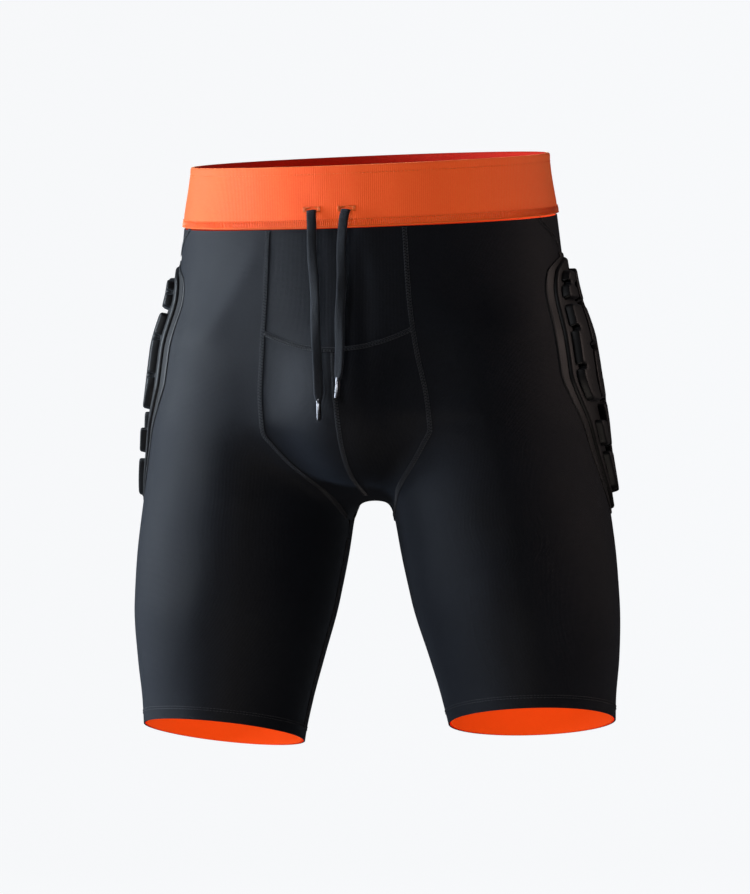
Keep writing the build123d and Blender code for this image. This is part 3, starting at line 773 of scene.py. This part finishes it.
def route_line(points):
    """Points read from the smooth spline that follows a route."""
    curve = bpy.data.curves.new("route", "CURVE")
    curve.dimensions, curve.resolution_u = "3D", 40
    spline = curve.splines.new("NURBS")
    spline.points.add(len(points) - 1)
    for point, place in zip(spline.points, points):
        point.co = (*(float(v) * MM for v in place), 1.0)
    spline.order_u, spline.use_endpoint_u = 3, True
    holder = bpy.data.objects.new("route", curve)
    mesh = bpy.data.meshes.new_from_object(holder)
    line = np.array([v.co[:] for v in mesh.vertices]) / MM
    bpy.data.objects.remove(holder)
    return line


def frames(line, twist):
    """Sideways and outward directions of a flat cord at each point."""
    along = unit(np.gradient(line, axis=0))
    side = unit(np.array([1.0, 0, 0]) - along * along[:, :1])
    out = np.cross(side, along)
    turn = np.radians(np.interp(np.linspace(0, 1, len(line)), *twist))[:, None]
    return side * np.cos(turn) + out * np.sin(turn), out * np.cos(turn) - side * np.sin(turn)


def cord_tube(name, line, twist, width, thickness):
    """Flat braided cord round a line, its plaits raised on the surface."""
    fine = evenly(line, 0.45)
    side, out = frames(fine, twist)
    angle = np.linspace(0, 2 * np.pi, 33)
    girth = np.sign(np.cos(angle)) * np.abs(np.cos(angle)) ** 0.75 * width / 2
    depth = np.sign(np.sin(angle)) * np.abs(np.sin(angle)) ** 0.6 * thickness / 2
    place = (np.arange(len(fine)) * 0.45)[:, None]
    plait = np.abs(np.sin(np.pi * (place / 2.0 + np.abs(girth)[None, :] / 2.6)))
    swell = 1 + 0.09 * plait
    flare = np.interp(place[:, 0], [0, 3, place[-1, 0] - 5, place[-1, 0]], [1, 1, 1, 0.62])[:, None]
    points = fine[:, None] + side[:, None] * (girth * flare * swell)[..., None]
    points = points + out[:, None] * (depth * (1.6 - 0.6 * flare) * swell)[..., None]
    return one_layer(name, points, [LACE])


def tip(name, line):
    """Crimped metal tip round the end of a tail."""
    direction = unit(line[-1] - line[-6])
    start = line[-1] - direction * 1.5
    along = [0, 0.3, 0.8, 3.0, 3.4, 4.0, 4.4, 10.0, 15.4, 16.1, 16.4, 16.4]
    radius = [1.5, 1.9, 1.95, 1.95, 1.8, 1.8, 1.95, 1.9, 1.85, 1.6, 1.0, 0.01]
    side = unit(np.cross(direction, [0, 1.0, 0]))
    out = np.cross(side, direction)
    angle = np.linspace(0, 2 * np.pi, 29)
    seam = 1 - 0.09 * np.exp(-(((angle - np.pi * 1.5) / 0.16) ** 2))
    ring = side[None, :] * np.cos(angle)[:, None] + out[None, :] * np.sin(angle)[:, None] * 0.86
    grid = [start + direction * a + ring * (r * seam)[:, None] for a, r in zip(along, radius)]
    return one_layer(name, np.array(grid), [METAL], crease=35)


def tail(name, x, points, twist, body):
    """One free tail of the drawcord with its tip."""
    start = exit_point(x)
    line = route_line([start + np.array(p, float) for p in points])
    cord = cord_tube(f"{name}_drawcord_tail_braid", line, twist, CORD_WIDTH, CORD_THICKNESS)
    end = tip(f"{name}_aglet_crimped", line)
    stands_for(end, "aglet_metal", f"{name}_aglet", body=body)
    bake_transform(cord)
    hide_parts(f"{name}_drawcord_tail")


def eyelet(name, x):
    """Satin-stitched slit in the band that a tail comes out of."""
    count = 64
    turn = np.linspace(0, 2 * np.pi, count, endpoint=False)
    stadium = np.sign(np.cos(turn)) * np.abs(np.cos(turn)) ** 0.5
    height = np.sign(np.sin(turn)) * np.abs(np.sin(turn)) ** 0.8

    def ring(half_width, half_height):
        place = np.stack([x + stadium * half_width, 0 * turn, CORD_LEVEL + 1.2 + height * half_height], -1)
        return cast(place, [0, -1, -WAIST_FALL])

    inner, outer = ring(4.6, 0.7), ring(6.4, 2.3)
    up = normals(outer)
    parts = [threads(inner + up * 1.25, outer + up * 1.15, up, 0.62, 0.5)]
    for end in (-1, 1):
        bar = x + end * np.linspace(5.4, 6.9, 4)
        top, low = (cast(np.stack([bar, 0 * bar, 0 * bar + CORD_LEVEL + rise], -1), [0, -1, -WAIST_FALL])
                    for rise in (3.6, -1.4))
        parts.append(threads(top + normals(top) * 1.5, low + normals(low) * 1.5, normals(top), 0.62, 0.5))
    points, faces = joined(parts)
    stands_for(make(f"{name}_buttonhole_satin", points, faces, [ORANGE_THREAD]),
               "orange_thread", f"{name}_buttonhole")


# ---------------------------------------------------------------- waistband
def band_shell():
    """Ribbed outer face of the band, folded in at its top edge, pressed in at its stitching."""
    outer = [(BAND_BOTTOM + 0.5, 0.15), (BAND_BOTTOM + 0.6, 0.8), (BAND_BOTTOM + 1.1, 1.15)]
    outer += [(level, 1.2) for level in np.linspace(BAND_BOTTOM + 2.2, -2.0, 24)]
    outer += [(-1.1, 1.1), (-0.4, 0.7), (-0.05, 0.0), (0.0, -0.9), (-0.1, -1.8)]
    levels = [level for level, _ in outer]
    ring = band_points(levels, BAND_COLUMNS)
    lift = np.array([rise for _, rise in outer])[:, None]
    level = np.array(levels)[:, None]
    dip = 0.28 * np.exp(-(((level + 6.6) / 1.1) ** 2))
    dip += 0.22 * np.exp(-(((level - BAND_BOTTOM - 6.8) / 1.2) ** 2))
    angle = np.linspace(0, 2 * np.pi, BAND_COLUMNS)[None, :]
    uneven = 0.16 * np.sin(angle * 17 + level / 19) * np.sin(angle * 7) * (lift > 0.5)
    rise = lift - dip * (lift > 1) + uneven
    shell = one_layer("waistband_shell_ribbed", ring + normals(ring) * rise[..., None], [ORANGE])
    stands_for(shell, "orange_webbing", "waistband_shell")


def band_lining():
    """Inner face of the band, bulged inward where the drawcord runs behind it."""
    inner = [(-0.05, -1.6), (-0.5, -2.4), (-1.6, -2.9), (-6.0, -3.0), (-20, -3.0), (-25, -3.1),
             (-27.5, -4.4), (-30, -6.2), (-34.5, -6.8), (-39, -6.2), (-41.5, -4.4),
             (-43.5, -3.2), (-46, -3.0), (-47.0, -2.4), (-47.2, -1.6)]
    levels = [level for level, _ in inner]
    ring = band_points(levels, 241)
    lift = np.array([rise for _, rise in inner])[:, None]
    # The lining's darker red is painted shade.
    lining = one_layer("waistband_lining_knit", ring + normals(ring) * lift[..., None], [SHADED_BACKING])
    stands_for(lining, "band_lining", "waistband_lining")


def band_core():
    """Elastic inside the band, and the drawcord's hidden run round it."""
    core = band_points([-2.5, -24, -45.4], 181)
    elastic = two_layer("waistband_elastic_ribbed", core + normals(core) * -0.35,
                        core + normals(core) * -1.8, [ELASTIC])
    stands_for(elastic, "elastic_core", "waistband_elastic")
    run = band_points([CORD_LEVEL + 3.2, CORD_LEVEL, CORD_LEVEL - 3.2], 241)[:, 8:-8]
    hidden = two_layer("drawcord_run_braid", run + normals(run) * -3.6, run + normals(run) * -5.6, [LACE])
    stands_for(hidden, "black_cord", "drawcord_tunnel_run")


def band_stitching():
    """Dotted row under the top fold, and the ladder of cover stitching at the bottom."""
    upper, high, middle, low = (evenly(band_points([level], BAND_COLUMNS)[0], 0.8)
                                for level in (-6.6, BAND_BOTTOM + 6.3, BAND_BOTTOM + 3.7, BAND_BOTTOM + 1.2))
    dots = stitch_row(upper, pitch=2.9, length=2.1, width=0.6, lift=0.98, height=0.12)
    top = make("waistband_upper_topstitch", *dots, [ORANGE_THREAD])
    stands_for(top, "orange_thread", "waistband_upper_stitching")
    parts = [stitch_row(line, pitch=1.9, length=1.8, width=0.75, lift=1.25, height=0.2)
             for line in (high, low)]
    parts.append(crossing(middle, pitch=1.55, reach=2.5, width=0.72, lift=1.28, height=0.22, lean=0.25))
    ladder = make("waistband_lower_coverstitch", *joined(parts), [ORANGE_THREAD])
    stands_for(ladder, "orange_thread", "waistband_lower_stitching")


# ---------------------------------------------------------------- the cloth panels
def panel(name, node, grid, thickness=FABRIC, lift=0.0, materials=None, material_slot="black_knit"):
    """Closed piece of cloth laid on the body, black outside and brushed orange inside."""
    outer = settled(grid, lift)
    inner = outer - normals(grid) * thickness
    obj = two_layer(name, outer, inner, materials or [KNIT, BRUSHED])
    return stands_for(obj, material_slot, node)


def leg(side, name):
    """Outer panel, lining and turned-up hem of one leg."""
    coarse = np.array([leg_line(share, 61, side) for share in np.linspace(0, 1, 61)])
    outer = panel(f"{name}_leg_panel_knit", f"{name}_leg_panel", refine(coarse, 181, 231))
    lining = panel(f"{name}_leg_lining_knit", f"{name}_leg_lining", coarse[1:-1], LINING,
                   -FABRIC - 0.25, [BRUSHED], "leg_lining")
    reach = HEM_LEVEL[side] - INSEAM_TOP
    rows = [hem_row(1 + rise / reach, 121, side) for rise in np.linspace(FACING_TOP, 0.3, 10)]
    facing = panel(f"{name}_hem_facing_tape", f"{name}_hem_facing", np.array(rows), LINING,
                   -FABRIC - 1.3, [TAPE], "hem_tape")
    line = evenly(hem_row(1 + HEM_STITCHES / reach, 241, side), 0.8)
    parts = [stitch_row(line, pitch=2.6, length=2.1, width=0.5, offset=offset, lift=0.08, height=0.12)
             for offset in (-0.9, 0.9)]
    hem = make(f"{name}_hem_stitching_twin", *joined(parts), [BLACK_THREAD])
    stands_for(hem, "black_thread", f"{name}_hem_stitching")


def front_and_seat():
    """Yoke, the two halves of the pouch, gusset and seat."""
    grid = strip_patch(fixed(0.0), yoke_station, -1, 1, 60, 72)
    yoke = panel("front_yoke_knit", "front_yoke_panel", grid)
    for name, left, right in (("right", -1, 0), ("left", 0, 1)):
        grid = strip_patch(yoke_station, fixed(GUSSET_FRONT), left, right, 96, 44)
        pouch = panel(f"{name}_pouch_knit", f"{name}_pouch_panel", grid)
    grid = strip_patch(fixed(GUSSET_FRONT), fixed(GUSSET_BACK), -1, 1, 50, 30)
    gusset = panel("gusset_knit", "gusset_panel", grid)
    grid = strip_patch(fixed(GUSSET_BACK), fixed(3.0), -1, 1, 110, 64)
    seat = panel("seat_knit", "seat_panel", grid)


# ---------------------------------------------------------------- seams
def seam(name, line, width=SEAM_WIDTH, has_node=True):
    """One flat seam in black thread, in the place of its stitching node if it has one."""
    nodes = [f"{name}_stitching"] if has_node else []
    stands_for(flatlock(f"{name}_flatlock", line, [KNIT, BLACK_THREAD], width), "black_thread", *nodes)


def seams():
    """Flat seams round the centre strip, across the front, down the pouch and the legs."""
    for side, name in ((-1, "right"), (1, "left")):
        station = np.linspace(0.012, 1.46, 420)
        seam(f"{name}_front_seam", strip_point(strip_edge(station, side), station))
        station = np.linspace(1.54, 2.988, 420)
        seam(f"{name}_seat_seam", strip_point(strip_edge(station, side), station))
        level = np.linspace(INSEAM_TOP - 8, HEM_LEVEL[side] + 4, 200)
        middle, depth = column(LEG, level, 1) * side, column(LEG, level, 4)
        seam(f"{name}_inseam", cast(np.stack([middle, depth, level], -1), [-side, 0, 0]))
    x = np.linspace(-55, 59, 200)
    seam("yoke_seam", strip_point(x, yoke_station(x)), width=3.8)
    station = np.linspace(0.70, 1.34, 200)
    seam("pouch_seam", strip_point(strip_edge(station, 0), station), width=3.2)


# ---------------------------------------------------------------- hip pads
# Outline of the base plate. Each row: height, middle y, half width.
PAD = [
    (-81, 15, 8), (-87, 15, 23), (-94, 15, 34), (-119, 14, 43), (-149, 13.5, 47),
    (-174, 13.5, 47), (-196, 18, 42), (-213, 23, 36), (-237, 27, 29),
    (-261, 31, 19), (-277, 34, 8),
]
PAD_SHIFT = {-1: -20.0, 1: 0.0}
# Foam blocks in three columns: shares of the plate's half width, then top and bottom.
BLOCKS = {
    "front": (-1.00, -0.40, [(-93, -117), (-121, -195), (-209, -229), (-233, -263)]),
    "middle": (-0.31, 0.31, [(-90, -117), (-121, -150), (-154, -192), (-196, -229), (-233, -265)]),
    "rear": (0.38, 1.00, [(-93, -127), (-131, -169), (-173, -212), (-216, -253)]),
}
# Small bites in the edges of the blocks: column, which edge, height.
BITES = [("front", -1, -104), ("front", -1, -140), ("front", -1, -169), ("front", 1, -152),
         ("rear", 1, -110), ("rear", 1, -150), ("rear", -1, -193), ("front", 1, -105)]
BLOCK_MARGIN = 8.0
PLATE_TOP = 3.7
BLOCK_HEIGHT = 6.2
BLOCK_CORNER = 4.0
BLOCK_STEP = 0.62            # distance between the points of a block


def pad_point(share, z, margin, side):
    """Point of the hip at a share of the plate's half width, less a margin."""
    share, z = np.broadcast_arrays(np.asarray(share, float), np.asarray(z, float))
    y = column(PAD, z, 1) + PAD_SHIFT[side] + (column(PAD, z, 2) - margin) * share
    origin = np.stack([np.full_like(y, HIP_AXIS * side), y, z], -1)
    return cast(origin, [side, 0, 0])


def rounded(distance, radius):
    """Height share of an edge rounded over a radius, from 0 outside to 1 inside."""
    inside = np.clip(distance / radius, 0, 1)
    return np.sqrt(np.clip(1 - (1 - inside) ** 2, 0, 1))


def plate_sheet(name, node, side, spread, lift, thickness, radius, material, material_slot):
    """Rounded sheet with the outline of the pad, spread past it by a margin."""
    top, bottom = PAD[0][0] + spread * 0.4, PAD[-1][0] - spread * 0.4
    z = top + (bottom - top) * (0.5 - 0.5 * np.cos(np.linspace(0, np.pi, 150)))[:, None]
    share = np.sin(np.linspace(-np.pi / 2, np.pi / 2, 90))[None, :]
    grid = pad_point(share, z, -spread, side)
    edge = np.minimum((1 - np.abs(share)) * (column(PAD, z, 2) + spread), np.minimum(top - z, z - bottom))
    up = normals(grid)
    outer = grid + up * (lift + thickness * (0.12 + 0.88 * rounded(edge, radius)))[..., None]
    inner = grid + up * lift
    obj = two_layer(name, outer, inner, [material], crease=70)
    return stands_for(obj, material_slot, node)


def inside_block(y, z, column_name, left, right, top, bottom):
    """Distance inside the outline of one block, with its round corners and its bites."""
    half_y, half_z = (right - left) / 2, (top - bottom) / 2
    off_y, off_z = np.abs(y - (left + right) / 2), np.abs(z - (top + bottom) / 2)
    corner_y, corner_z = off_y - half_y + BLOCK_CORNER, off_z - half_z + BLOCK_CORNER
    outside = np.hypot(np.clip(corner_y, 0, None), np.clip(corner_z, 0, None))
    distance = BLOCK_CORNER - outside - np.minimum(np.maximum(corner_y, corner_z), 0)
    for name, edge, level in BITES:
        if name == column_name:
            middle = right if edge > 0 else left
            bite = np.hypot((y - middle) / 4.2, (z - level) / 1.9)
            distance = np.minimum(distance, (bite - 1) * 2.4)
    return distance


def block(side, column_name, left, right, top, bottom):
    """Outer and inner points of one foam block."""
    rows, columns = int((top - bottom) / BLOCK_STEP), int((right - left) * 33 / BLOCK_STEP)
    z = np.linspace(top, bottom, rows)[:, None]
    share = np.linspace(left, right, columns)[None, :]
    grid = pad_point(share, z, BLOCK_MARGIN, side)
    width = column(PAD, z, 2) - BLOCK_MARGIN
    y, across_width = (share - left) * width, (right - left) * width
    distance = inside_block(y, z + 0 * share, column_name, 0 * width, across_width, top, bottom)
    rise = BLOCK_HEIGHT * (0.86 * rounded(distance, 1.1) + 0.14 * rounded(distance - 0.6, 3.6))
    up = normals(grid)
    base = PLATE_TOP - 0.5
    return grid + up * (base + rise)[..., None], grid + up * (base - 0.3)


def pad_blocks(side, name, column_name):
    """One column of foam blocks as a single padded piece."""
    left, right, levels = BLOCKS[column_name]
    made = []
    for top, bottom in levels:
        outer, inner = block(side, column_name, left, right, top, bottom)
        made.append(two_layer("block", outer, inner, [FOAM], crease=None))
    target = made[0]
    with bpy.context.temp_override(active_object=target, object=target, selected_editable_objects=made,
                                   selected_objects=made):
        bpy.ops.object.join()
    target.name = f"{name}_pad_blocks_{column_name}_foam"
    stands_for(target, "pad_foam", f"{name}_pad_blocks_{column_name}")


def hip_pad(side, name):
    """Film, base plate, blocks and edge stitching of one hip."""
    plate_sheet(f"{name}_pad_film_sheet", f"{name}_pad_film", side, spread=10.0, lift=0.2,
                thickness=0.85, radius=1.6, material=FILM, material_slot="pad_film")
    plate = plate_sheet(f"{name}_pad_plate_moulded", f"{name}_pad_base_plate", side, spread=0.0, lift=1.0,
                        thickness=PLATE_TOP - 1.0, radius=2.4, material=FOAM, material_slot="pad_foam")
    for column_name in BLOCKS:
        pad_blocks(side, name, column_name)
    z = np.linspace(PAD[0][0], PAD[-1][0], 300)
    parts = []
    for share in (-1.0, 1.0):
        line = pad_point(share, z, -8.2, side)
        parts.append(stitch_row(line, pitch=2.4, length=1.9, width=0.5, lift=1.02, height=0.15))
    edge = make(f"{name}_pad_edge_topstitch", *joined(parts), [BLACK_THREAD])
    stands_for(edge, "black_thread", f"{name}_pad_edge_stitching")


def hip_seams():
    """Short seams that run from the waistband to the top of each pad film."""
    for side, name in ((-1, "right"), (1, "left")):
        z = np.linspace(-54, -72, 80)
        y = np.interp(z, [-72, -60, -54], [-2, -22, -31]) + PAD_SHIFT[side]
        origin = np.stack([np.full_like(z, HIP_AXIS * side), y, z], -1)
        seam(f"{name}_hip_seam", cast(origin, [side, 0, 0]), width=2.6, has_node=False)


def care_label():
    """Blank satin label inside the back of the band, bowed a little."""
    x = np.linspace(-17, 17, 41)[None, :]
    z = np.linspace(-13, -41, 33)[:, None]
    grid = cast(np.stack([x + 0 * z, 0 * x + 0 * z, z + 0 * x], -1), [0, 1, WAIST_FALL])
    bow = 0.8 * np.sin(np.pi * (z + 13) / -28) + 0.3 * np.sin(x / 6)
    outer = grid - normals(grid) * (7.4 + bow)[..., None]
    label = two_layer("care_label_satin", outer, outer + normals(grid) * 0.3, [SATIN])
    stands_for(label, "label_satin", "care_label")


# ---------------------------------------------------------------- assembly
studio()
camera()
tail("right", CORD_X[0], RIGHT_TAIL, ([0, 0.15, 0.5, 0.8, 1], [0, 6, -10, 14, 8]), "right_tail")
tail("left", CORD_X[1], LEFT_TAIL, ([0, 0.15, 0.45, 0.8, 1], [0, -8, 12, -12, -18]), "left_tail")
eyelet("right", CORD_X[0])
eyelet("left", CORD_X[1])
band_shell()
band_lining()
band_core()
band_stitching()
front_and_seat()
for side, name in ((-1, "right"), (1, "left")):
    leg(side, name)
    hip_pad(side, name)
seams()
hip_seams()
care_label()
